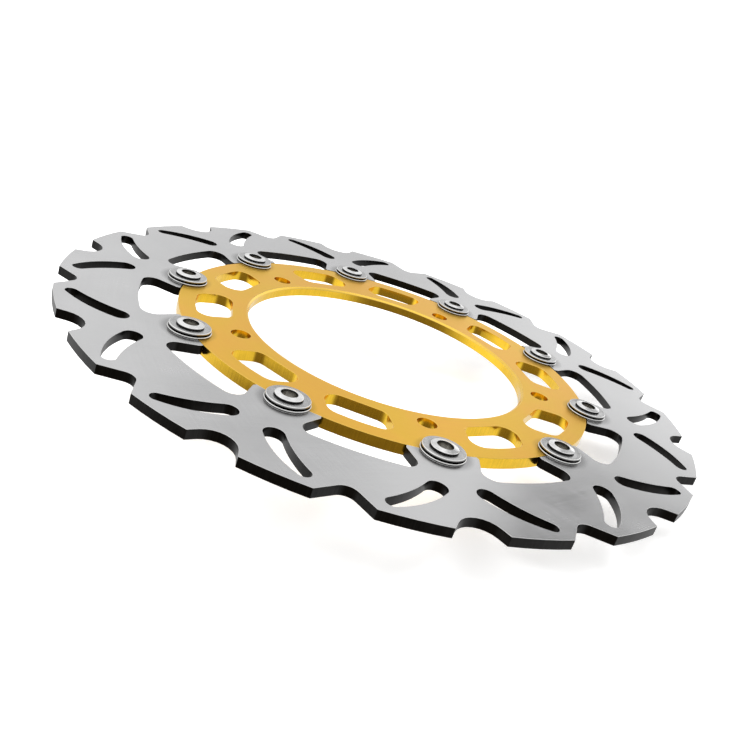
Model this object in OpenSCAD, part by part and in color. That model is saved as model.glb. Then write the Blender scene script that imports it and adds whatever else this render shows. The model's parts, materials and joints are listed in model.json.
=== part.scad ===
// Floating brake disc rotor for a motorcycle front wheel.
// A steel friction disc hangs in an aluminium carrier on ten riveted bobbins.
// The origin is the centre of the hub bore on the carrier's hub side, and +Z points away from the hub.

/* [Disc] */
// Outer diameter of the friction disc
disc_od = 297.4; // [290:0.2:310]
// Thickness of the friction disc
disc_t = 4.1; // [3.6:0.1:4.6]
// Radius of the inner ends of the disc's tabs
tab_inner_r = 98; // [97.9:0.1:99]
// Distance from the axis to the floor of a rim notch
notch_floor_r = 140; // [138:0.1:143]
// Root radius of the rim notches in line with the bobbins
round_notch_r = 9; // [6:0.1:9.5]
// Flank angle of the rim notches in line with the bobbins, from the radius
round_notch_flank = 30; // [20:1:40]
// Root radius of the rim notches half way between the bobbins
vee_notch_r = 5; // [3:0.1:7]
// Flank angle of the rim notches half way between the bobbins, from the radius
vee_notch_flank = 46; // [35:1:50]

/* [Curved slots] */
// Distance of a slot's inner end from the axis, along the bobbin's radius
slot_inner_x = 124.2; // [122:0.1:126]
// Distance of a slot's inner end from the bobbin's radius
slot_inner_y = 9.5; // [8:0.1:11]
// Distance of a slot's outer end from the axis, along the bobbin's radius
slot_outer_x = 138.4; // [136:0.1:139]
// Distance of a slot's outer end from the bobbin's radius
slot_outer_y = 29.2; // [27:0.1:30]
// Radius of a slot's wide inner end
slot_inner_r = 4.1; // [2.5:0.1:4.5]
// Radius of a slot's narrow outer end
slot_outer_r = 2.8; // [1.5:0.05:3.5]
// Bend radius of a slot's centre line
slot_bend_r = 50; // [35:1:120]

/* [Windows between the disc's tabs] */
// Radius of the windows' outer edge
window_outer_r = 114.6; // [112:0.1:116]
// Radius of the windows' outer corners
window_corner_r = 5.1; // [3:0.1:7]
// Angle from a window's middle to the centre of its corner
window_corner_angle = 8.6; // [7:0.1:10]
// Half width of a window between the tabs' inner ends
window_mouth_half = 16.4; // [15:0.1:18.5]
// Distance from the axis at which the mouth starts to widen
window_mouth_end = 98.4; // [98:0.1:101]

/* [Carrier] */
// Outer diameter of the carrier
carrier_od = 195.2; // [190:0.1:195.6]
// Thickness of the carrier
carrier_t = 4.7; // [4.5:0.1:6]
// Height of the disc's top face above the carrier's, so that the washers bear on the disc
disc_proud = 0.2; // [0.1:0.05:0.4]
// Diameter of the hub bore
bore_d = 132; // [120:0.5:136]
// Width of the 45 degree chamfer on the bore's outer edge
bore_chamfer = 0.9; // [0.3:0.1:1.5]
// Radial room round the bobbins' flanges in their pockets on the hub side
pocket_room = 0.3; // [0.2:0.05:0.6]
// Diameter of the bolt circle
bolt_pcd = 150; // [146:1:154]
// Diameter of the bolt holes
bolt_d = 8.5; // [6:0.5:9]

/* [Bobbins] */
// Number of bobbins
bobbin_count = 10; // [10]
// Diameter of the circle through the bobbins' axes
bobbin_pcd = 196; // [195.6:0.1:196.4]
// Diameter of a bobbin's shank
shank_d = 12; // [10:0.1:13]
// Radial clearance of the shank in the disc and the carrier
shank_clearance = 0.08; // [0.02:0.01:0.1]
// Diameter of a bobbin's neck, which carries the washers
neck_d = 9.4; // [9:0.1:9.8]
// Diameter of a bobbin's rolled lip
lip_d = 11.3; // [10.8:0.1:12]
// Height of a bobbin's rolled lip at the mouth of its hollow
lip_h = 1.35; // [1.2:0.05:1.5]
// Fall of the lip's top face from the mouth of the hollow to the rim
lip_fall = 0.55; // [0.2:0.05:0.6]
// Diameter of a bobbin's hollow
hollow_d = 6.7; // [5:0.1:7.4]
// Diameter of a bobbin's flange on the hub side
flange_d = 17; // [15:0.1:17.4]
// Thickness of a bobbin's flange
flange_t = 0.7; // [0.6:0.1:1.5]

/* [Washers] */
// Diameter of the flat washers
flat_washer_d = 17.6; // [15:0.1:18]
// Thickness of the flat washers
flat_washer_t = 1; // [0.8:0.1:1.5]
// Diameter of the conical spring washers
spring_washer_d = 18.4; // [15:0.1:18.6]
// Thickness of a spring washer's sheet
spring_sheet_t = 0.45; // [0.3:0.05:0.5]
// Room for a spring washer between the disc and the flat washer
spring_h = 1; // [0.8:0.05:1.2]
// Diametral clearance of the washers on the neck
washer_clearance = 0.4; // [0.2:0.1:0.6]

/* [Hidden] */
$fn = 96;
eps = 0.5;
number = ["01", "02", "03", "04", "05", "06", "07", "08", "09", "10"];

pitch = 360 / bobbin_count;
disc_r = disc_od / 2;
seat_r = shank_d / 2 + shank_clearance;
bobbin_r = bobbin_pcd / 2;
bolt_count = bobbin_count / 2;

// Heights of the stack, from the carrier's hub side up
disc_top = carrier_t + disc_proud;
disc_z = disc_top - disc_t;
flat_washer_z = disc_top + spring_h;
lip_z = flat_washer_z + flat_washer_t;

// The shank stops short of the disc's top face
shank_setback = 0.1;
// The lip's rim curls up this far above the flat washer
lip_lift = 0.25;
// Edge radii of a bobbin: its flange, the lip's rim, the lip's crown and the mouth of the hollow
flange_edge = 0.3;
rim_edge = 0.1;
crown_edge = 0.2;
mouth_edge = 0.2;
// Edge radii of a flat washer and of a spring washer
washer_edge = 0.4;
spring_edge = 0.15;
// Gap above and below a spring washer
spring_gap = 0.02;
// Segments in a drawn arc
arc_steps = 8;
// Length of a window's mouth inside the tabs' inner ends
mouth_run = 4;

// Corners of one carrier window as x, y and corner radius, with x along the radius of a bolt hole
carrier_window = [
    [62.0, 42.3, 6],
    [72.6, 16.5, 5],
    [88.6, 15.6, 5.2],
    [85.2, 30.1, 60],
    [79.6, 41.6, 6.2]
];

function unit(v) = v / norm(v);

// Points of an arc about c from angle a to angle b
function arc(c, r, a, b, steps = arc_steps) =
    [for (k = [0:steps]) c + r * [cos(a + (b - a) * k / steps), sin(a + (b - a) * k / steps)]];

// Points of the arc of radius r that rounds the corner at b, between a and c
function corner_arc(a, b, c, r) =
    let (
        u = unit(a - b),
        v = unit(c - b),
        half = acos(u * v) / 2,
        centre = b + unit(u + v) * r / sin(half),
        from = b + u * r / tan(half) - centre,
        to = b + v * r / tan(half) - centre,
        start = atan2(from.y, from.x),
        turn = (atan2(to.y, to.x) - start + 540) % 360 - 180
    )
    arc(centre, r, start, start + turn);

// Outline of a closed polygon with each corner rounded by its third number
function rounded(corners) =
    let (n = len(corners), p = [for (c = corners) [c.x, c.y]])
    [for (i = [0:n - 1]) each corners[i].z > 0
        ? corner_arc(p[(i + n - 1) % n], p[i], p[(i + 1) % n], corners[i].z)
        : [p[i]]];

// Copies round the axis
module around(count, first = 0) {
    for (i = [0:count - 1])
        rotate(first + i * 360 / count) children();
}

// A rim notch on the X axis: a wedge that opens outwards and has a round root
module rim_notch(root_r, flank) {
    reach = disc_r + eps;
    apex = notch_floor_r - root_r * (1 / sin(flank) - 1);
    half = (reach - apex) * tan(flank);
    polygon(rounded([[reach, -half, 0], [reach, half, 0], [apex, 0, root_r]]));
}

// A curved slot that narrows outwards, beside the bobbin's radius on the X axis
module curved_slot() {
    inner = [slot_inner_x, slot_inner_y];
    outer = [slot_outer_x, slot_outer_y];
    chord = outer - inner;
    side = unit([-chord.y, chord.x]);
    bend = (inner + outer) / 2 + side * sqrt(slot_bend_r ^ 2 - (norm(chord) / 2) ^ 2);
    a = atan2(inner.y - bend.y, inner.x - bend.x);
    b = atan2(outer.y - bend.y, outer.x - bend.x);
    function edge(t, sign) =
        let (
            angle = a + (b - a) * t,
            r = slot_bend_r + sign * (slot_inner_r + (slot_outer_r - slot_inner_r) * t ^ 2)
        )
        bend + r * [cos(angle), sin(angle)];
    polygon(concat(
        arc(outer, slot_outer_r, b, b + 180, 2 * arc_steps),
        [for (k = [1:arc_steps - 1]) edge(1 - k / arc_steps, -1)],
        arc(inner, slot_inner_r, a + 180, a + 360, 2 * arc_steps),
        [for (k = [1:arc_steps - 1]) edge(k / arc_steps, 1)]
    ));
}

// A window between two tabs, with its middle on the X axis
module tab_window() {
    r = window_outer_r - window_corner_r;
    corner = r * [cos(window_corner_angle), sin(window_corner_angle)];
    bend = [window_mouth_end, window_mouth_half];
    reach = norm(corner - bend);
    flank = atan2(corner.y - bend.y, corner.x - bend.x) + asin(window_corner_r / reach);
    half = concat(
        [[tab_inner_r - mouth_run, window_mouth_half], bend],
        arc(corner, window_corner_r, flank + 90, window_corner_angle, 2 * arc_steps)
    );
    rim = arc([0, 0], window_outer_r, window_corner_angle, -window_corner_angle);
    n = len(half);
    polygon(concat(
        half,
        [for (k = [1:arc_steps - 1]) rim[k]],
        [for (k = [n - 1:-1:0]) [half[k].x, -half[k].y]]
    ));
}

// Holes about the bobbins' axes
module bobbin_holes(r) {
    around(bobbin_count) translate([bobbin_r, 0]) circle(r);
}

module disc() {
    color([0.76, 0.76, 0.77]) translate([0, 0, disc_z]) linear_extrude(disc_t) difference() {
        circle(disc_r);
        circle(tab_inner_r);
        bobbin_holes(seat_r);
        around(bobbin_count) rim_notch(round_notch_r, round_notch_flank);
        around(bobbin_count, pitch / 2) rim_notch(vee_notch_r, vee_notch_flank);
        around(bobbin_count, pitch / 2) tab_window();
        around(bobbin_count) {
            curved_slot();
            mirror([0, 1]) curved_slot();
        }
    }
}

module carrier_windows() {
    around(bolt_count) {
        polygon(rounded(carrier_window));
        mirror([0, 1]) polygon(rounded(carrier_window));
    }
}

module carrier() {
    bore_r = bore_d / 2;
    through = carrier_t + 2 * eps;
    color([0.91, 0.70, 0.29]) difference() {
        cylinder(d = carrier_od, h = carrier_t);
        translate([0, 0, -eps]) cylinder(r = bore_r, h = through);
        translate([0, 0, carrier_t - bore_chamfer])
            cylinder(r1 = bore_r, r2 = bore_r + bore_chamfer + eps, h = bore_chamfer + eps);
        translate([0, 0, -eps]) linear_extrude(through) {
            carrier_windows();
            bobbin_holes(seat_r);
        }
        translate([0, 0, -eps]) linear_extrude(disc_z + eps) bobbin_holes(flange_d / 2 + pocket_room);
        around(bolt_count) translate([bolt_pcd / 2, 0, -eps]) cylinder(d = bolt_d, h = through);
    }
}

// Profile of a bobbin from its hollow outwards, as radius and height
module bobbin_profile() {
    hollow = hollow_d / 2;
    lip = lip_d / 2;
    flange = flange_d / 2;
    lip_top = lip_z + lip_h;
    shank_top = disc_top - shank_setback;
    polygon(rounded([
        [hollow, disc_z - flange_t, flange_edge],
        [flange, disc_z - flange_t, flange_edge],
        [flange, disc_z, 0],
        [shank_d / 2, disc_z, 0],
        [shank_d / 2, shank_top, 0],
        [neck_d / 2, shank_top, 0],
        [neck_d / 2, lip_z, 0],
        [lip - lip_lift, lip_z, 0],
        [lip, lip_z + lip_lift, rim_edge],
        [lip, lip_top - lip_fall, crown_edge],
        [hollow, lip_top, mouth_edge]
    ]));
}

// Places a piece on the axis of bobbin i
module at_bobbin(i) {
    rotate(i * pitch) translate([bobbin_r, 0, 0]) children();
}

module bobbin(i) {
    color([0.80, 0.80, 0.79]) at_bobbin(i) rotate_extrude() bobbin_profile();
}

module flat_washer(i) {
    inner = (neck_d + washer_clearance) / 2;
    color([0.70, 0.70, 0.70]) at_bobbin(i) translate([0, 0, flat_washer_z]) rotate_extrude()
        polygon(rounded([
            [inner, 0, 0],
            [flat_washer_d / 2, 0, washer_edge],
            [flat_washer_d / 2, flat_washer_t, washer_edge],
            [inner, flat_washer_t, 0]
        ]));
}

// A dished ring whose outer edge is on the disc and whose inner edge is under the flat washer
module spring_washer(i) {
    inner = (neck_d + washer_clearance) / 2;
    outer = spring_washer_d / 2;
    low = disc_top + spring_gap;
    high = flat_washer_z - spring_gap;
    color([0.62, 0.62, 0.62]) at_bobbin(i) rotate_extrude() polygon(rounded([
        [inner, high - spring_sheet_t, 0],
        [outer, low, spring_edge],
        [outer, low + spring_sheet_t, spring_edge],
        [inner, high, 0]
    ]));
}

disc();
carrier();
for (i = [0:bobbin_count - 1]) {
    bobbin(i);
    flat_washer(i);
    spring_washer(i);
}
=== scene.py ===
"""Floating brake disc rotor: its disc, carrier, bobbins and washers, and a studio to show them in."""

import json
import math

import bmesh
import bpy
from bpy.props import FloatProperty, FloatVectorProperty, IntProperty, PointerProperty
from mathutils import Matrix, Vector


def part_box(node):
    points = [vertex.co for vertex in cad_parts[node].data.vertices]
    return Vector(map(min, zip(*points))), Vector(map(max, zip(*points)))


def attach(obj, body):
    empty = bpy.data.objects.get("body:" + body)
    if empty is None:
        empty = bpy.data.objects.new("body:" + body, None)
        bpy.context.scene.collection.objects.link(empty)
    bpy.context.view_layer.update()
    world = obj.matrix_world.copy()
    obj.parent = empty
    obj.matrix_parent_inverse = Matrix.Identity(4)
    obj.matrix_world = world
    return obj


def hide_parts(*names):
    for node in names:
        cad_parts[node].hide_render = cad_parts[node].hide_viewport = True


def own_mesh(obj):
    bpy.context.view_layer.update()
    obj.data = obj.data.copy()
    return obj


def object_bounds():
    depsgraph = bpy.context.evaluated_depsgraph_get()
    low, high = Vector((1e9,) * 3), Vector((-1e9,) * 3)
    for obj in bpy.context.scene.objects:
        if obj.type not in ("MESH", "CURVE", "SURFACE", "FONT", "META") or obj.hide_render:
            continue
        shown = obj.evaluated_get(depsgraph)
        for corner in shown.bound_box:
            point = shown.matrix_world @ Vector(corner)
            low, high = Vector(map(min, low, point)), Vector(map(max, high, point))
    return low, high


bl_info = {
    "name": "Floating Brake Rotor",
    "version": (1, 0, 0),
    "blender": (4, 5, 0),
    "location": "View3D > Sidebar > Rotor",
    "description": "Builds the pieces of a floating brake rotor, and a studio for them",
    "category": "Object",
}

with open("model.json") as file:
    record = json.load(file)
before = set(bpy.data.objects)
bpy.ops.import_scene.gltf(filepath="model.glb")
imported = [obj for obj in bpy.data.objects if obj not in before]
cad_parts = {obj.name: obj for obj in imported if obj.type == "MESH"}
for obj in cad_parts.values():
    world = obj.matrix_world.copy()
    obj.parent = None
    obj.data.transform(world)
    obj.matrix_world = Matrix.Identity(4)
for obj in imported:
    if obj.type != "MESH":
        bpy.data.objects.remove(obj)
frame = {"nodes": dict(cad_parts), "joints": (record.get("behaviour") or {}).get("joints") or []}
CAD_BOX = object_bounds()

# Places and sizes, in metres, that the frame gives
BOBBIN_COUNT = sum(name.startswith("bobbin_") for name in frame["nodes"])
BOBBIN_PITCH = math.tau / BOBBIN_COUNT
FIRST_LOW, FIRST_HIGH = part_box("bobbin_01")
BOBBIN_CIRCLE_R = (FIRST_LOW.x + FIRST_HIGH.x) / 2
FLANGE_R = (FIRST_HIGH.x - FIRST_LOW.x) / 2
DISC_LOW, DISC_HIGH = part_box("disc")
WASHER_LOW, WASHER_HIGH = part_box("flat_washer_01")
WASHER_R = (WASHER_HIGH.x - WASHER_LOW.x) / 2
SPRING_LOW, SPRING_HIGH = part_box("spring_washer_01")
SPRING_R = (SPRING_HIGH.x - SPRING_LOW.x) / 2

# Gaps within which two points are one, and angles that make one flat face or a sharp edge
SAME_POINT = 1e-6
SPUN_POINT = 1e-7
SAME_FACE = math.radians(1)
SHARP_EDGE = math.radians(40)

# Upward parts of a face's normal that divide a piece into its finishes
FLAT_FROM = 0.98
WALL_BELOW = 0.1
# Faces of the lip's side below this take painted shade
LIP_SIDE_BELOW = 0.3
# Flat washer rim faces above this take a painted highlight
RIM_HIGHLIGHT_FROM = 0.35
# Spring washer rim faces between these take a painted highlight
SPRING_RIM_FROM, SPRING_RIM_BELOW = -0.05, 0.97

# How far large faces rule the shading of the broken edges beside them
FACE_WEIGHT = 80

# Centre and seed of each sweep of the grinding wheel over the disc
GRIND_SWEEPS = ((0.19, 0.06, 3.0), (-0.16, 0.12, 11.0))

# Red, green and blue shares of the two casts that cloud the gold
ROSE_CAST = (1.03, 0.95, 1.30)
YELLOW_CAST = (0.99, 1.03, 0.85)

WHITE = (1, 1, 1, 1)
NOISE_MIDDLE = 0.5
FLOOR_STEPS = 96


def colour(name, description, default):
    return FloatVectorProperty(
        name=name, description=description, default=default, subtype="COLOR", min=0, max=1
    )


def place(name, description, default):
    return FloatVectorProperty(name=name, description=description, default=default, unit="LENGTH")


def length(name, description, default):
    return FloatProperty(
        name=name, description=description, default=default, unit="LENGTH", precision=6
    )


def angle(name, description, degrees):
    default = math.radians(degrees)
    return FloatProperty(name=name, description=description, default=default, subtype="ANGLE")


def share(name, description, default):
    return FloatProperty(
        name=name, description=description, default=default, subtype="FACTOR", min=0, max=1
    )


def brightness(name, description, default):
    return FloatProperty(name=name, description=description, default=default, min=0)


def step_count(description, default):
    return IntProperty(name="Steps", description=description, default=default, min=24)


def group(kind, name):
    return PointerProperty(type=kind, name=name, description=kind.__doc__)


class DiscSettings(bpy.types.PropertyGroup):
    """Sizes and finishes of the friction disc"""

    edge_break: length("Edge break", "Width of the broken edge round the disc's faces", 0.00014)
    face_colour: colour("Face", "Ground steel of the braking faces", (0.64, 0.64, 0.645))
    edge_colour: colour("Edge", "Bright steel where the edges are broken", (0.74, 0.74, 0.74))
    wall_colour: colour("Wall", "Blackened steel of the cut walls", (0.023, 0.0225, 0.022))
    grind_pitch: length("Grind pitch", "Spacing of the grinding marks", 0.0006)
    roughness: share("Roughness", "Roughness of the ground faces", 0.24)
    roughness_spread: share("Spread", "Change of roughness to either side of it", 0.04)
    # Painted shade: the disc's face is darkened in its colour round the washers
    washer_shade: share("Film", "Brightness left under the oily film round the washers", 0.58)
    washer_shade_width: length("Film width", "Width of the oily film round the washers", 0.0042)


class CarrierSettings(bpy.types.PropertyGroup):
    """Sizes and finishes of the carrier"""

    edge_break: length("Edge break", "Width of the broken edge round the faces", 0.00016)
    face_colour: colour("Face", "Gold anodising on the faces", (0.91, 0.53, 0.046))
    edge_colour: colour("Edge", "Gold anodising on the broken edges", (0.95, 0.61, 0.11))
    wall_colour: colour("Wall", "Gold anodising on the milled walls", (0.93, 0.58, 0.045))
    glint: share("Glint", "Strength of the lighter specks on the faces", 0.35)
    roughness: share("Roughness", "Roughness of the faces", 0.36)
    roughness_spread: share("Spread", "Change of roughness to either side of it", 0.06)
    # Painted shade: the carrier's face is darkened in its colour round the washers
    washer_shade: share("Film", "Brightness left under the oily film round the washers", 0.78)
    washer_shade_width: length("Film width", "Width of the oily film round the washers", 0.003)


class BobbinSettings(bpy.types.PropertyGroup):
    """Sizes and finishes of the bobbins"""

    hollow_r: length("Hollow radius", "Radius of the hollow through a bobbin", 0.00335)
    shank_r: length("Shank radius", "Radius of the shank in the disc and the carrier", 0.006)
    neck_r: length("Neck radius", "Radius of the neck that carries the washers", 0.0047)
    lip_r: length("Lip radius", "Radius of the rolled lip", 0.00565)
    lip_lift: length("Lip lift", "Height by which the lip's rim curls up", 0.00025)
    lip_break: length("Lip edge break", "Radius of the lip's lower edge", 0.0000625)
    lip_fall: length("Lip fall", "Fall of the lip's top from the hollow to the rim", 0.00055)
    setback: length("Setback", "Distance from the shank's end to the disc's top", 0.0001)
    rounding: length("Rounding", "Radius of the lip's crown", 0.0002)
    mouth_rounding: length("Mouth rounding", "Radius of the hollow's edges", 0.0002)
    steel: colour("Steel", "Turned steel", (0.93, 0.93, 0.92))
    # Painted shade: the lip's side is given near-black steel
    lip_side_shade_colour: colour("Lip side", "Blackened side of the rolled lip", (0.05, 0.05, 0.05))
    bore_steel: colour("Bored steel", "Dull steel of the hollow's wall", (0.52, 0.51, 0.48))
    # Painted shade: the hollow's wall is darkened near the mouth, fading deeper down
    mouth_shade: colour("Mouth", "Darkened steel inside the hollow's mouth", (0.12, 0.117, 0.11))
    mouth_shade_from: length("Soot start", "Depth at which the darkened steel starts to fade", 0.0005)
    mouth_shade_to: length("Soot end", "Depth at which the darkened steel ends", 0.0019)
    mouth_shade_waver: length("Soot waver", "Unevenness of the darkened steel's depth", 0.0012)
    steps: step_count("Segments round a bobbin", 72)


class WasherSettings(bpy.types.PropertyGroup):
    """Sizes and finishes of the flat and spring washers"""

    hole_r: length("Hole radius", "Radius of the hole in both washers", 0.0049)
    flat_rounding: length("Flat rounding", "Radius of a flat washer's outer edges", 0.0004)
    sheet_t: length("Sheet thickness", "Thickness of a spring washer's sheet", 0.00045)
    spring_rounding: length("Spring rounding", "Radius of its upper outer edge", 0.00028)
    spring_break: length("Spring edge break", "Radius of its lower outer edge", 0.00012)
    flat_steel: colour("Flat washer", "Tumbled steel of the flat washers", (0.54, 0.54, 0.54))
    # Painted highlight: bright steel on the washers' upward-facing rims
    rim_highlight_steel: colour("Rubbed edge", "Bright steel on the washers' rims", (0.90, 0.90, 0.89))
    sheared_steel: colour("Sheared side", "Upper band of a flat washer's side", (0.5, 0.495, 0.485))
    # Painted shade: the lower band of a flat washer's side is near-black
    side_shade_steel: colour("Torn side", "Lower band of a flat washer's side", (0.06, 0.059, 0.056))
    shaded_band_from: length("Torn start", "Height at which the torn band starts to fade", 0.0002)
    shaded_band_to: length("Torn end", "Height at which the torn band ends", 0.0006)
    shaded_band_waver: length("Torn waver", "Unevenness of the torn band's height", 0.0003)
    # Painted shade: the spring washer's sheet is near-black to darken the gap under the flat washer
    spring_steel: colour("Spring washer", "Heat-darkened spring steel", (0.12, 0.118, 0.115))
    steps: step_count("Segments round a washer", 96)


class StudioSettings(bpy.types.PropertyGroup):
    """Camera, floor, light and surroundings"""

    camera_place: place("Camera", "Place of the camera", (-0.00826, -0.39282, 0.14413))
    camera_turn: FloatVectorProperty(
        name="Camera turn",
        description="Turn of the camera",
        default=(math.radians(67.325), math.radians(-17.442), math.radians(6.083)),
        subtype="EULER",
    )
    camera_near: length("Camera near", "Nearest distance that the camera sees", 0.01)
    lens: FloatProperty(
        name="Lens", description="Focal length in millimetres", default=42.839, unit="CAMERA"
    )
    floor_r: length("Floor radius", "Radius of the floor", 0.5)
    floor_drop: length("Floor drop", "Gap between the rotor's lowest edge and the floor", 0.006)
    floor_lean: angle("Floor lean", "Slope of the floor under the propped rotor", 9)
    floor_rise: angle("Floor rise", "Direction in which the floor rises", -12)
    floor_colour: colour("Floor", "Pale floor", (0.92, 0.92, 0.92))
    floor_glow: brightness("Floor glow", "Light that the floor adds of its own", 0.45)
    floor_roughness: share("Floor roughness", "Roughness of the floor", 0.8)
    softbox_place: place("Softbox", "Place of the overhead softbox", (-0.70, 0.25, 0.8))
    softbox_size: length("Softbox size", "Side of the softbox", 1.0)
    softbox_power: FloatProperty(
        name="Softbox power", description="Power of the softbox", default=11.0, unit="POWER"
    )
    backdrop_light: brightness("Backdrop", "Brightness of the backdrop in view", 1.1)
    room_light: brightness("Room light", "Brightness of the pale room in reflections", 0.95)
    dark_colour: colour("Dark colour", "Colour of the room's dark side", (0.195, 0.16, 0.12))
    dark_side: angle("Dark side", "Direction of the dark side, low in the room", -108)
    dusk_side: angle("Dusk side", "Direction of the dark side, just above that", -95.5)
    back_side: angle("Back side", "Direction of the broad dim side behind the camera", -54)
    bright_side: angle("Bright side", "Direction of the room's brightest side", 57)
    glow_side: angle("Glow side", "Direction of the glow low in the room", 178)
    dim_side: angle("Dim side", "Direction of the room's dim side", 95)
    faint_side: angle("Faint side", "Direction of the room's faintest shade", 112)
    shade_side: angle("Shade side", "Direction of the shade high in the room", 67.6)
    spot_side: angle("Spot side", "Direction of the darkest spot in the shade", 74.7)


class RotorSettings(bpy.types.PropertyGroup):
    """All settings of the rotor"""

    disc: group(DiscSettings, "Disc")
    carrier: group(CarrierSettings, "Carrier")
    bobbin: group(BobbinSettings, "Bobbins")
    washer: group(WasherSettings, "Washers")
    studio: group(StudioSettings, "Studio")


def cast(base, factors):
    """A colour with each channel multiplied by its own factor."""
    return (*[min(1.0, channel * factor) for channel, factor in zip(base, factors)], 1.0)


def tint(base, amount=1.0):
    """A lighter or darker colour."""
    return cast(base, (amount, amount, amount))


class Signal:
    """A shader value that takes part in Python sums."""

    def __init__(self, shader, socket):
        self.shader = shader
        self.socket = socket

    def sum(self, operation, *terms):
        return self.shader.node("Math", {"operation": operation}, dict(enumerate(terms)))

    def __add__(self, other):
        return self.sum("ADD", self, other)

    def __radd__(self, other):
        return self.sum("ADD", other, self)

    def __sub__(self, other):
        return self.sum("SUBTRACT", self, other)

    def __rsub__(self, other):
        return self.sum("SUBTRACT", other, self)

    def __mul__(self, other):
        return self.sum("MULTIPLY", self, other)

    def __rmul__(self, other):
        return self.sum("MULTIPLY", other, self)

    def __truediv__(self, other):
        return self.sum("DIVIDE", self, other)

    def __rtruediv__(self, other):
        return self.sum("DIVIDE", other, self)

    def __pow__(self, other):
        return self.sum("POWER", self, other)

    def __rpow__(self, other):
        return self.sum("POWER", other, self)


class Shader:
    """A node tree that grows by one node at a time."""

    def __init__(self, tree):
        self.tree = tree
        tree.nodes.clear()

    def node(self, kind, settings=None, inputs=None, output=0):
        made = self.tree.nodes.new("ShaderNode" + kind)
        for key, value in (settings or {}).items():
            setattr(made, key, value)
        for key, value in (inputs or {}).items():
            if isinstance(value, Signal):
                self.tree.links.new(value.socket, made.inputs[key])
            else:
                made.inputs[key].default_value = value
        return Signal(self, made.outputs[output]) if made.outputs else None

    def xyz(self, kind="Object"):
        source = self.node("TexCoord", output=kind)
        return [self.node("SeparateXYZ", inputs={0: source}, output=axis) for axis in "XYZ"]

    def radius(self, x, y):
        return (x * x + y * y) ** 0.5

    def bearing(self, x, y):
        return x.sum("ARCTAN2", y, x)

    def noise(self, x, y, z, detail=2.0, roughness=0.5):
        vector = self.node("CombineXYZ", inputs={0: x, 1: y, 2: z})
        inputs = {"Vector": vector, "Scale": 1.0, "Detail": detail, "Roughness": roughness}
        return self.node("TexNoise", inputs=inputs)

    def speckle(self, xyz, per_metre, upright=None, seed=None, **look):
        """Noise with so many specks to the metre, and so many along the Z axis."""
        x, y, z = xyz
        first = x * per_metre if seed is None else x * per_metre + seed
        return self.noise(first, y * per_metre, z * (upright or per_metre), **look)

    def rings(self, across, turn, per_metre, per_radian, seed, **look):
        """Marks that run round an axis on a flat face."""
        return self.noise(across * per_metre, turn * per_radian, seed, **look)

    def bands(self, turn, height, per_radian, per_metre, seed):
        """Marks that run round an axis on a round wall."""
        return self.noise(turn * per_radian, height * per_metre, seed)

    def ramp(self, value, low, high):
        """Rises smoothly from 0 at the low end to 1 at the high end."""
        settings = {"interpolation_type": "SMOOTHSTEP"}
        return self.node("MapRange", settings, {"Value": value, "From Min": low, "From Max": high})

    def span(self, value, low, high):
        """Carries a value between 0 and 1 over to another range."""
        return value * (high - low) + low

    def blend(self, fine, coarse, coarse_share):
        return fine * (1 - coarse_share) + coarse * coarse_share

    def tone(self, fine, coarse, coarse_share, low, high):
        """Two noises in one, with the contrast raised."""
        return self.ramp(self.blend(fine, coarse, coarse_share), low, high)

    def mix(self, factor, first, second):
        inputs = {0: factor, 6: first, 7: second}
        return self.node("Mix", {"data_type": "RGBA"}, inputs, output=2)

    def shades(self, tone, base, dark, light):
        """A colour that goes from a darker to a lighter tint as the tone rises."""
        return self.mix(tone, tint(base, dark), tint(base, light))


class Metal(Shader):
    """A metal finish: a Principled shader with its fixed sockets set and its changing ones linked."""

    def __init__(self, name, **constants):
        self.material = bpy.data.materials.new(name)
        self.material.use_nodes = True
        super().__init__(self.material.node_tree)
        self.constants = constants

    def surface(self, base, roughness, height, depth):
        bumps = {"Strength": 1.0, "Distance": depth, "Height": height}
        normal = self.node("Bump", inputs=bumps, output="Normal")
        inputs = {"Base Color": base, "Roughness": roughness, "Normal": normal, "Metallic": 1.0}
        return self.node("BsdfPrincipled", inputs={**inputs, **self.constants})

    def finish(self, base, roughness, height, depth):
        surface = self.surface(base, roughness, height, depth)
        self.node("OutputMaterial", inputs={"Surface": surface})
        return self.material

    def at_bobbin(self, x, y):
        """Coordinates across the nearest bobbin's axis, and that bobbin's number."""
        r = self.radius(x, y)
        turn = self.bearing(x, y)
        number = turn.sum("ROUND", turn / BOBBIN_PITCH)
        local = turn - number * BOBBIN_PITCH
        u = r * local.sum("COSINE", local) - BOBBIN_CIRCLE_R
        v = r * local.sum("SINE", local)
        return u, v, number

    def painted_shade_at_washers(self, x, y, base, look):
        """Darkens a face towards the spring washers with painted shade, as if the washers shaded it.
        """
        u, v = self.at_bobbin(x, y)[:2]
        clear = self.ramp(self.radius(u, v), SPRING_R, SPRING_R + look.washer_shade_width)
        return self.mix(clear, tint(look.face_colour, look.washer_shade), base)

    def face_roughness(self, tone, look):
        low = look.roughness - look.roughness_spread
        return self.span(tone, low, look.roughness + look.roughness_spread)


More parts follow.
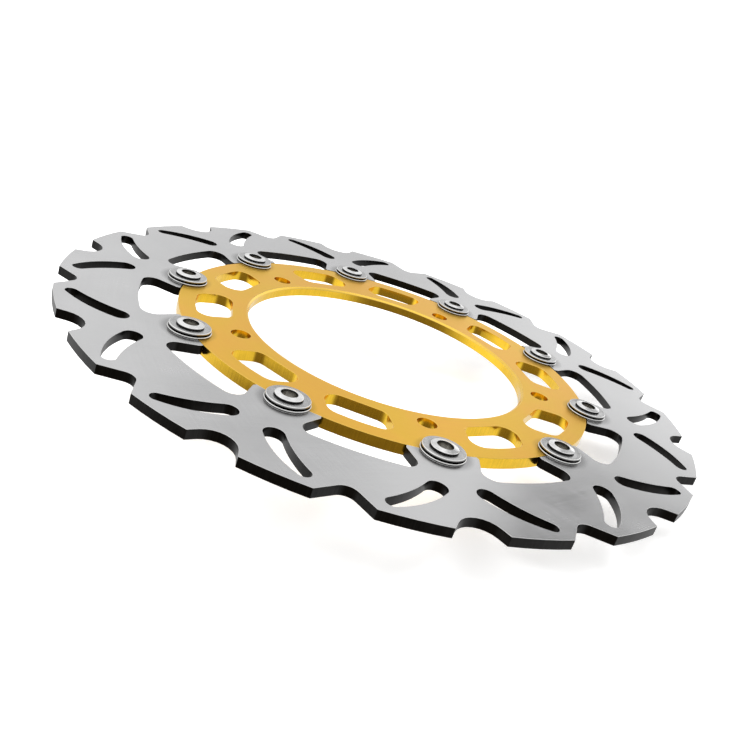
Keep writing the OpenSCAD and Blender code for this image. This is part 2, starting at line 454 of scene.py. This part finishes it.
def ground_steel(look):
    """Sweeps of grinding marks and soft clouds"""
    metal = Metal("ground_steel")
    x, y, z = metal.xyz()
    marks = {"per_metre": 1 / look.grind_pitch, "per_radian": 9.0, "detail": 3.0, "roughness": 0.6}
    grain = 0
    for centre_x, centre_y, seed in GRIND_SWEEPS:
        u, v = x - centre_x, y - centre_y
        sweep = metal.rings(metal.radius(u, v), metal.bearing(u, v), seed=seed, **marks)
        grain = sweep / len(GRIND_SWEEPS) + grain
    cloud = metal.speckle((x, y, z), per_metre=34.0, detail=4.0, roughness=0.55)
    tone = metal.tone(grain, cloud, coarse_share=0.55, low=0.32, high=0.68)
    base = metal.shades(tone, look.face_colour, dark=0.945, light=1.055)
    # Painted shade round the washers
    base = metal.painted_shade_at_washers(x, y, base, look)
    return metal.finish(base, metal.face_roughness(tone, look), height=grain, depth=0.000007)


def bright_edge(look):
    """Worn bright steel"""
    metal = Metal("bright_edge")
    wear = metal.speckle(metal.xyz(), per_metre=900.0)
    base = metal.shades(wear, look.edge_colour, dark=0.82, light=1.08)
    roughness = metal.span(wear, low=0.22, high=0.42)
    return metal.finish(base, roughness, height=wear, depth=0.00001)


def black_wall(look):
    """Upright cutting marks under black scale"""
    metal = Metal("black_wall", **{"Specular IOR Level": 0.25})
    xyz = metal.xyz()
    cut = metal.speckle(xyz, per_metre=2600.0, upright=120.0)
    scale = metal.speckle(xyz, per_metre=260.0, detail=3.0)
    tone = metal.tone(cut, scale, coarse_share=0.4, low=0.35, high=0.7)
    base = metal.shades(tone, look.wall_colour, dark=0.8, light=1.25)
    roughness = metal.span(scale, low=0.26, high=0.42)
    return metal.finish(base, roughness, height=cut, depth=0.000012)


def satin_gold(look):
    """Fine pebbling and turning marks under clouded gold"""
    metal = Metal("satin_gold")
    x, y, z = metal.xyz()
    r, turn = metal.radius(x, y), metal.bearing(x, y)
    pebble = metal.speckle((x, y, z), per_metre=5200.0)
    turning = metal.rings(r, turn, per_metre=2600.0, per_radian=3.0, seed=z * 40.0)
    cloud = metal.ramp(metal.speckle((x, y, z), per_metre=26.0, detail=3.0), low=0.35, high=0.65)
    rose, yellow = cast(look.face_colour, ROSE_CAST), cast(look.face_colour, YELLOW_CAST)
    glint = metal.tone(pebble, turning, coarse_share=0.5, low=0.3, high=0.7) * look.glint
    base = metal.mix(glint, metal.mix(cloud, rose, yellow), tint(look.face_colour, 1.18))
    # Painted shade round the washers
    base = metal.painted_shade_at_washers(x, y, base, look)
    height = metal.blend(pebble, turning, coarse_share=0.3)
    return metal.finish(base, metal.face_roughness(pebble, look), height, depth=0.000012)


def gold_edge(look):
    """Worn bright gold"""
    metal = Metal("gold_edge")
    wear = metal.speckle(metal.xyz(), per_metre=700.0)
    base = metal.shades(wear, look.edge_colour, dark=0.9, light=1.1)
    roughness = metal.span(wear, low=0.18, high=0.30)
    return metal.finish(base, roughness, height=wear, depth=0.000006)


def milled_gold(look):
    """Upright milling marks"""
    metal = Metal("milled_gold")
    xyz = metal.xyz()
    cutter = metal.speckle(xyz, per_metre=1500.0, upright=60.0)
    cloud = metal.speckle(xyz, per_metre=120.0, upright=240.0)
    tone = metal.tone(cutter, cloud, coarse_share=0.5, low=0.3, high=0.7)
    base = metal.shades(tone, look.wall_colour, dark=0.88, light=1.06)
    roughness = metal.span(cutter, low=0.14, high=0.26)
    return metal.finish(base, roughness, height=cutter, depth=0.000005)


def turned_steel(look):
    """Turning marks with faint stains"""
    metal = Metal("turned_steel")
    x, y, z = metal.xyz()
    u, v, number = metal.at_bobbin(x, y)
    across, turn = metal.radius(u, v) + z, metal.bearing(u, v)
    marks = metal.rings(across, turn, per_metre=7000.0, per_radian=1.2, seed=number * 7.3)
    stain = metal.speckle((u, v, z), per_metre=420.0, seed=number * 5.1, detail=3.0)
    tone = metal.tone(marks, stain, coarse_share=0.5, low=0.3, high=0.7)
    base = metal.shades(tone, look.steel, dark=0.84, light=1.12)
    roughness = metal.span(stain, low=0.16, high=0.32)
    return metal.finish(base, roughness, height=marks, depth=0.000008)


def lip_side_shade(look):
    """Painted shade on the lip's side: near-black steel, lighter in random specks"""
    metal = Metal("lip_side_shade")
    x, y, z = metal.xyz()
    u, v, number = metal.at_bobbin(x, y)
    seed = number * 6.1
    rubbed = metal.speckle((u, v, z), per_metre=1800.0, upright=3600.0, seed=seed, detail=3.0)
    worn = metal.ramp(rubbed, low=0.55, high=0.8)
    base = metal.shades(worn, look.lip_side_shade_colour, dark=1.0, light=3.5)
    roughness = metal.span(rubbed, low=0.3, high=0.5)
    return metal.finish(base, roughness, height=rubbed, depth=0.00001)


def bored_steel(look):
    """Boring marks, with painted shade darkening the hollow unevenly at the mouth and fading to bored
    steel deeper down
    """
    metal = Metal("bored_steel")
    x, y, z = metal.xyz()
    u, v, number = metal.at_bobbin(x, y)
    turn = metal.bearing(u, v)
    rifling = metal.bands(turn, z, per_radian=6.0, per_metre=5200.0, seed=number * 3.9)
    streak = metal.bands(turn, z, per_radian=3.0, per_metre=300.0, seed=number * 5.7)
    tone = metal.ramp(rifling, low=0.3, high=0.7)
    steel = metal.shades(tone, look.bore_steel, dark=0.75, light=1.25)
    # Painted shade near the mouth, fading with depth
    below = FIRST_HIGH.z - z + (streak - NOISE_MIDDLE) * look.mouth_shade_waver
    base = metal.mix(metal.ramp(below, look.mouth_shade_from, look.mouth_shade_to), tint(look.mouth_shade), steel)
    roughness = metal.span(rifling, low=0.16, high=0.30)
    return metal.finish(base, roughness, height=rifling, depth=0.00001)


def tumbled_steel(look):
    """Fine grit marks with soft clouds"""
    metal = Metal("tumbled_steel")
    x, y, z = metal.xyz()
    u, v, number = metal.at_bobbin(x, y)
    marks = {"per_metre": 3800.0, "detail": 3.0, "roughness": 0.6}
    grit = metal.speckle((u, v, z), seed=number * 9.7, **marks)
    cloud = metal.speckle((u, v, z), per_metre=520.0, seed=number * 3.3)
    tone = metal.tone(grit, cloud, coarse_share=0.4, low=0.32, high=0.68)
    base = metal.shades(tone, look.flat_steel, dark=0.8, light=1.15)
    roughness = metal.span(grit, low=0.18, high=0.34)
    return metal.finish(base, roughness, height=grit, depth=0.000012)


def rim_highlight(name, look):
    """Painted highlight: bright steel on a washer's upward-facing rim, with random wear"""
    metal = Metal(name)
    x, y, z = metal.xyz()
    u, v, number = metal.at_bobbin(x, y)
    rub = metal.speckle((u, v, z), per_metre=2600.0, seed=number * 2.3)
    base = metal.shades(rub, look.rim_highlight_steel, dark=0.8, light=1.1)
    roughness = metal.span(rub, low=0.14, high=0.28)
    return metal.finish(base, roughness, height=rub, depth=0.000008)


def shaded_washer_side(look):
    """A flat washer's side: painted shade darkening the lower band, bright sheared steel above"""
    metal = Metal("shaded_washer_side")
    x, y, z = metal.xyz()
    u, v, number = metal.at_bobbin(x, y)
    turn = metal.bearing(u, v)
    tear = metal.bands(turn, z, per_radian=60.0, per_metre=900.0, seed=number * 8.1)
    tone = metal.ramp(tear, low=0.35, high=0.75)
    shaded = metal.shades(tone, look.side_shade_steel, dark=0.7, light=1.8)
    # Painted shade on the lower band, fading out higher up the side
    rise = z - WASHER_LOW.z + (tear - NOISE_MIDDLE) * look.shaded_band_waver
    sheared = metal.ramp(rise, look.shaded_band_from, look.shaded_band_to)
    base = metal.mix(sheared, shaded, tint(look.sheared_steel))
    roughness = metal.span(tear, low=0.16, high=0.32)
    return metal.finish(base, roughness, height=tear, depth=0.000015)


def shaded_spring_sheet(look):
    """Rolling marks with faint stains, on near-black painted shade for the gap under the flat washer
    """
    metal = Metal("shaded_spring_sheet")
    x, y, z = metal.xyz()
    u, v, number = metal.at_bobbin(x, y)
    r, turn = metal.radius(u, v), metal.bearing(u, v)
    seed = z * 5200.0 + number * 2.7
    rolled = metal.rings(r, turn, per_metre=5200.0, per_radian=4.0, seed=seed)
    stain = metal.speckle((u, v, z), per_metre=600.0, seed=number * 4.4)
    tone = metal.tone(rolled, stain, coarse_share=0.5, low=0.3, high=0.7)
    base = metal.shades(tone, look.spring_steel, dark=0.85, light=1.1)
    roughness = metal.span(rolled, low=0.12, high=0.24)
    return metal.finish(base, roughness, height=rolled, depth=0.000006)


def numbered(word, index):
    """The name of one of the ten like pieces."""
    return f"{word}_{index + 1:02d}"


def add_piece(name, bm, body, materials):
    """Makes an object of a finished bmesh that stands for the CAD node of the same name."""
    mesh = bpy.data.meshes.new(name)
    for layer in (bm.loops.layers.float_vector, bm.loops.layers.uv):
        for item in list(layer.values()):
            layer.remove(item)
    bm.to_mesh(mesh)
    bm.free()
    custom = mesh.attributes.get("custom_normal")
    if custom:
        mesh.attributes.remove(custom)
    mesh.shade_smooth()
    for material in materials:
        mesh.materials.append(material)
    made = bpy.data.objects.new(name + "_look", mesh)
    bpy.context.scene.collection.objects.link(made)
    weighted = made.modifiers.new("Weighted normals", "WEIGHTED_NORMAL")
    weighted.weight = FACE_WEIGHT
    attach(made, body)
    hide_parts(name)
    return made


def merged_copy(node):
    """A copy of a CAD node's mesh, with its triangles merged into flat faces."""
    bm = bmesh.new()
    bm.from_mesh(frame["nodes"][node].data)
    bmesh.ops.remove_doubles(bm, verts=bm.verts, dist=SAME_POINT)
    bmesh.ops.dissolve_limit(bm, angle_limit=SAME_FACE, verts=bm.verts, edges=bm.edges)
    return bm


def break_edges(bm, width):
    """Rounds every sharp edge."""
    edges = [e for e in bm.edges if e.is_manifold and e.calc_face_angle() > SHARP_EDGE]
    bmesh.ops.bevel(
        bm,
        geom=edges,
        offset=width,
        offset_type="OFFSET",
        affect="EDGES",
        segments=2,
        profile=0.5,
        material=-1,
        clamp_overlap=False,
        loop_slide=False,
    )


def give_finishes(bm, finish_of):
    """Gives each face the number of its finish."""
    bm.normal_update()
    for face in bm.faces:
        face.material_index = finish_of(face)


def plate_finish(face):
    """Flat faces take the first finish, walls the second and broken edges the third."""
    slope = abs(face.normal.z)
    if slope > FLAT_FROM:
        return 0
    return 1 if slope < WALL_BELOW else 2


def washer_finish(face):
    """A flat washer's top takes the first finish, its rim the second, all else the third."""
    if face.normal.z > FLAT_FROM:
        return 0
    # The rim takes a painted highlight; the side below it takes painted shade
    return 1 if face.normal.z > RIM_HIGHLIGHT_FROM else 2


def spring_finish(face):
    """A spring washer's sheet takes the first finish and its rim the second."""
    # The sheet takes painted shade, the rim a painted highlight
    return 1 if SPRING_RIM_FROM < face.normal.z < SPRING_RIM_BELOW else 0


def turned(profile, steps):
    """A closed ring turned from a profile of radius and height, about the Z axis."""
    bm = bmesh.new()
    verts = [bm.verts.new((r, 0, z)) for r, z in profile]
    edges = [bm.edges.new((verts[i - 1], verts[i])) for i in range(len(verts))]
    bmesh.ops.spin(
        bm,
        geom=verts + edges,
        cent=(0, 0, 0),
        axis=(0, 0, 1),
        angle=math.tau,
        steps=steps,
        use_merge=True,
    )
    bmesh.ops.remove_doubles(bm, verts=bm.verts, dist=SPUN_POINT)
    bmesh.ops.recalc_face_normals(bm, faces=bm.faces)
    return bm


def ring_edges(bm, r, z):
    """The edges of a turned ring's circle at a radius and height."""

    def on_circle(vert):
        return abs(vert.co.xy.length - r) < SAME_POINT and abs(vert.co.z - z) < SAME_POINT

    return [edge for edge in bm.edges if all(on_circle(vert) for vert in edge.verts)]


def round_ring(bm, r, z, radius, segments):
    """Rounds a turned ring's edge."""
    edges = ring_edges(bm, r, z)
    if not edges:
        raise RuntimeError(f"no edge at radius {r} and height {z}")
    bmesh.ops.bevel(
        bm,
        geom=edges,
        offset=radius,
        offset_type="OFFSET",
        affect="EDGES",
        segments=segments,
        profile=0.5,
        material=-1,
        clamp_overlap=True,
    )


def place_at_bobbin(bm, index):
    """Moves a piece from the origin's axis to a bobbin's."""
    turn = Matrix.Rotation(index * BOBBIN_PITCH, 4, "Z")
    matrix = turn @ Matrix.Translation((BOBBIN_CIRCLE_R, 0, 0))
    bmesh.ops.transform(bm, verts=bm.verts, matrix=matrix)


class RotorOperator:
    """What the rotor's operators share"""

    bl_options = {"REGISTER", "UNDO"}


class ROTOR_OT_disc(RotorOperator, bpy.types.Operator):
    """Make the friction disc, with ground faces, blackened walls and bright broken edges"""

    bl_idname = "rotor.disc"
    bl_label = "Friction disc"

    def execute(self, context):
        look = context.scene.rotor.disc
        steel = [ground_steel(look), black_wall(look), bright_edge(look)]
        bm = merged_copy("disc")
        break_edges(bm, look.edge_break)
        give_finishes(bm, plate_finish)
        add_piece("disc", bm, "disc", steel)
        return {"FINISHED"}


class ROTOR_OT_carrier(RotorOperator, bpy.types.Operator):
    """Make the anodised carrier, with satin faces, milled walls and bright broken edges"""

    bl_idname = "rotor.carrier"
    bl_label = "Carrier"

    def execute(self, context):
        look = context.scene.rotor.carrier
        gold = [satin_gold(look), milled_gold(look), gold_edge(look)]
        bm = merged_copy("carrier")
        break_edges(bm, look.edge_break)
        give_finishes(bm, plate_finish)
        add_piece("carrier", bm, "carrier", gold)
        return {"FINISHED"}


class ROTOR_OT_bobbins(RotorOperator, bpy.types.Operator):
    """Make the hollow bobbins, with a flange on the hub side and a rolled lip"""

    bl_idname = "rotor.bobbins"
    bl_label = "Bobbins"

    def execute(self, context):
        look = context.scene.rotor.bobbin
        steel = [turned_steel(look), bored_steel(look), lip_side_shade(look)]
        low, high = FIRST_LOW.z, FIRST_HIGH.z
        plate_low = DISC_LOW.z
        shank_top = DISC_HIGH.z - look.setback
        lip_low = WASHER_HIGH.z
        curl_high = lip_low + look.lip_lift
        rim_high = high - look.lip_fall
        profile = [
            (look.hollow_r, low),
            (FLANGE_R, low),
            (FLANGE_R, plate_low),
            (look.shank_r, plate_low),
            (look.shank_r, shank_top),
            (look.neck_r, shank_top),
            (look.neck_r, lip_low),
            (look.lip_r - look.lip_lift, lip_low),
            (look.lip_r, curl_high),
            (look.lip_r, rim_high),
            (look.hollow_r, high),
        ]

        def bobbin_finish(face):
            centre = face.calc_center_median()
            if centre.xy.length < look.hollow_r:
                return 1
            # The lip's side takes painted shade
            return 2 if centre.z > lip_low and face.normal.z < LIP_SIDE_BELOW else 0

        for index in range(BOBBIN_COUNT):
            bm = turned(profile, look.steps)
            round_ring(bm, look.lip_r, rim_high, look.rounding, segments=5)
            round_ring(bm, look.lip_r, curl_high, look.lip_break, segments=2)
            round_ring(bm, FLANGE_R, low, look.mouth_rounding, segments=3)
            for height in (low, high):
                round_ring(bm, look.hollow_r, height, look.mouth_rounding, segments=3)
            give_finishes(bm, bobbin_finish)
            place_at_bobbin(bm, index)
            name = numbered("bobbin", index)
            add_piece(name, bm, name, steel)
        return {"FINISHED"}


class ROTOR_OT_flat_washers(RotorOperator, bpy.types.Operator):
    """Make the flat washers under the bobbins' lips"""

    bl_idname = "rotor.flat_washers"
    bl_label = "Flat washers"

    def execute(self, context):
        look = context.scene.rotor.washer
        steel = [tumbled_steel(look), rim_highlight("washer_rim", look), shaded_washer_side(look)]
        low, high = WASHER_LOW.z, WASHER_HIGH.z
        profile = [(look.hole_r, low), (WASHER_R, low), (WASHER_R, high), (look.hole_r, high)]
        for index in range(BOBBIN_COUNT):
            bm = turned(profile, look.steps)
            for height in (low, high):
                round_ring(bm, WASHER_R, height, look.flat_rounding, segments=5)
            give_finishes(bm, washer_finish)
            place_at_bobbin(bm, index)
            body = numbered("bobbin", index)
            add_piece(numbered("flat_washer", index), bm, body, steel)
        return {"FINISHED"}


class ROTOR_OT_spring_washers(RotorOperator, bpy.types.Operator):
    """Make the dished spring washers"""

    bl_idname = "rotor.spring_washers"
    bl_label = "Spring washers"

    def execute(self, context):
        look = context.scene.rotor.washer
        steel = [shaded_spring_sheet(look), rim_highlight("spring_rim", look)]
        low, high = SPRING_LOW.z, SPRING_HIGH.z
        float_joint = next(joint for joint in frame["joints"] if joint["name"] == "disc_float")
        travel = max(float_joint["range_m"])
        room = WASHER_LOW.z - DISC_HIGH.z
        profile = [
            (look.hole_r, high - look.sheet_t),
            (SPRING_R, low),
            (SPRING_R, low + look.sheet_t),
            (look.hole_r, high),
        ]
        for index in range(BOBBIN_COUNT):
            bm = turned(profile, look.steps)
            round_ring(bm, SPRING_R, low, look.spring_break, segments=2)
            round_ring(bm, SPRING_R, low + look.sheet_t, look.spring_rounding, segments=4)
            give_finishes(bm, spring_finish)
            place_at_bobbin(bm, index)
            body = numbered("bobbin", index)
            name = numbered("spring_washer", index)
            washer = add_piece(name, bm, body, steel)
            1 - travel / room
            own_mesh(washer)
        return {"FINISHED"}


class ROTOR_OT_studio(RotorOperator, bpy.types.Operator):
    """Make the floor, the light, the surroundings and the camera"""

    bl_idname = "rotor.studio"
    bl_label = "Studio"

    def execute(self, context):
        look = context.scene.rotor.studio
        self.floor(look)
        self.surroundings(look)
        self.softbox(look)
        self.camera(look)
        context.scene.view_settings.view_transform = "Standard"
        return {"FINISHED"}

    def floor(self, look):
        """A leaning pale floor that can be seen through from below."""
        rise = look.floor_rise
        lean = Matrix.Rotation(look.floor_lean, 4, (math.sin(rise), -math.cos(rise), 0))
        height = CAD_BOX[0][2] - look.floor_drop - DISC_HIGH.x * math.tan(look.floor_lean)
        bm = bmesh.new()
        bmesh.ops.create_circle(bm, cap_ends=True, segments=FLOOR_STEPS, radius=look.floor_r)
        bmesh.ops.transform(bm, verts=bm.verts, matrix=Matrix.Translation((0, 0, height)) @ lean)
        mesh = bpy.data.meshes.new("floor")
        bm.to_mesh(mesh)
        bm.free()
        mesh.materials.append(self.paper(look))
        floor = bpy.data.objects.new("floor", mesh)
        floor.visible_glossy = False
        bpy.context.scene.collection.objects.link(floor)

    def paper(self, look):
        glow = {"Emission Color": WHITE, "Emission Strength": look.floor_glow}
        paper = Metal("floor_paper", Metallic=0.0, **glow)
        x, y = paper.xyz()[:2]
        grain = paper.speckle((x, y, 0.0), per_metre=900.0)
        base = paper.shades(grain, look.floor_colour, dark=0.99, light=1.0)
        top = paper.surface(base, look.floor_roughness, height=grain, depth=0.00001)
        underside = paper.node("NewGeometry", output="Backfacing")
        clear = paper.node("BsdfTransparent")
        sheet = paper.node("MixShader", inputs={0: underside, 1: top, 2: clear})
        paper.node("OutputMaterial", inputs={"Surface": sheet})
        return paper.material

    def surroundings(self, look):
        """White to the camera; in reflections a pale room with dark, dim and bright sides."""
        world = bpy.data.worlds.new("Studio")
        bpy.context.scene.world = world
        world.use_nodes = True
        shader = Shader(world.node_tree)
        x, y, z = shader.xyz("Generated")
        across = shader.radius(x, y)

        def patch(way, reach, core, amount, above=None, below=None):
            """A soft patch of the room: half its width in degrees and its band of heights."""
            toward = (x * math.cos(way) + y * math.sin(way)) / across
            edge, middle = math.cos(math.radians(reach)), math.cos(math.radians(core))
            made = shader.ramp(toward, edge, middle) * amount
            if above:
                made = made * shader.ramp(z, *above)
            if below:
                made = made * (1 - shader.ramp(z, *below))
            return made

        dark = patch(look.dark_side, reach=87, core=37, amount=1.0, below=(-0.4, -0.33))
        dusk = {"above": (-0.4, -0.33), "below": (-0.05, 0.1)}
        dark = patch(look.dusk_side, reach=59.5, core=29.5, amount=0.94, **dusk) + dark

        upper = {"above": (0.338, 0.387)}
        spot = {"below": (0.43, 0.5), **upper}
        faint = {"above": (0.1, 0.2), "below": (0.34, 0.42)}
        back = {"above": (-0.05, 0.1), "below": (0.75, 0.92)}
        glow = {"above": (-0.385, -0.34), "below": (-0.15, -0.02)}
        dims = [
            patch(look.back_side, reach=84, core=60, amount=0.36, **back),
            patch(look.dim_side, reach=11.5, core=2.5, amount=0.17)
            + patch(look.dim_side, reach=11.5, core=2.5, amount=0.09, above=(0.36, 0.45)),
            patch(look.shade_side, reach=11.8, core=5.9, amount=0.735, **upper),
            patch(look.spot_side, reach=4.4, core=0.5, amount=0.58, **spot),
            patch(look.faint_side, reach=12, core=5, amount=0.12, **faint),
        ]
        lights = [
            patch(look.bright_side, reach=26, core=11.8, amount=0.35, above=(0.0, 0.15)),
            patch(look.glow_side, reach=32, core=14, amount=0.35, **glow),
        ]
        ceiling = shader.ramp(z, low=0.55, high=0.9)
        room = shader.span(ceiling, low=1.0, high=1.24) * look.room_light
        for light in lights:
            room = room * (1 + light)
        for dim in dims:
            room = room * (1 - dim)

        seen = shader.node("LightPath", output="Is Camera Ray")
        strength = room * (1 - seen) + seen * look.backdrop_light
        tone = shader.mix(dark * (1 - seen), WHITE, tint(look.dark_colour))
        surface = shader.node("Background", inputs={"Color": tone, "Strength": strength})
        shader.node("OutputWorld", inputs={"Surface": surface})

    def softbox(self, look):
        """A broad light overhead, turned to the rotor and not seen itself."""
        lamp = bpy.data.lights.new("Overhead softbox", "AREA")
        lamp.shape = "SQUARE"
        lamp.size = look.softbox_size
        lamp.energy = look.softbox_power
        made = bpy.data.objects.new("Overhead softbox", lamp)
        made.location = look.softbox_place
        made.rotation_euler = (-Vector(look.softbox_place)).to_track_quat("-Z", "Y").to_euler()
        made.visible_camera = False
        made.visible_glossy = False
        bpy.context.scene.collection.objects.link(made)

    def camera(self, look):
        camera = bpy.data.cameras.new("Camera")
        camera.lens = look.lens
        camera.clip_start = look.camera_near
        made = bpy.data.objects.new("Camera", camera)
        made.location = look.camera_place
        made.rotation_euler = look.camera_turn
        bpy.context.scene.collection.objects.link(made)
        bpy.context.scene.camera = made


BUILD_ORDER = (
    ROTOR_OT_disc,
    ROTOR_OT_carrier,
    ROTOR_OT_bobbins,
    ROTOR_OT_flat_washers,
    ROTOR_OT_spring_washers,
    ROTOR_OT_studio,
)


class ROTOR_PT_panel(bpy.types.Panel):
    """The rotor's pieces and studio, in the order in which they are made"""

    bl_label = "Floating brake rotor"
    bl_idname = "ROTOR_PT_panel"
    bl_space_type = "VIEW_3D"
    bl_region_type = "UI"
    bl_category = "Rotor"

    def draw(self, context):
        for operator in BUILD_ORDER:
            self.layout.operator(operator.bl_idname)


SETTINGS = (
    DiscSettings,
    CarrierSettings,
    BobbinSettings,
    WasherSettings,
    StudioSettings,
    RotorSettings,
)
CLASSES = (*SETTINGS, *BUILD_ORDER, ROTOR_PT_panel)


def register():
    for item in CLASSES:
        bpy.utils.register_class(item)
    bpy.types.Scene.rotor = group(RotorSettings, "Rotor")


def unregister():
    del bpy.types.Scene.rotor
    for item in reversed(CLASSES):
        bpy.utils.unregister_class(item)


def main():
    register()
    bpy.ops.rotor.disc()
    bpy.ops.rotor.carrier()
    bpy.ops.rotor.bobbins()
    bpy.ops.rotor.flat_washers()
    bpy.ops.rotor.spring_washers()
    bpy.ops.rotor.studio()


if __name__ == "__main__":
    main()
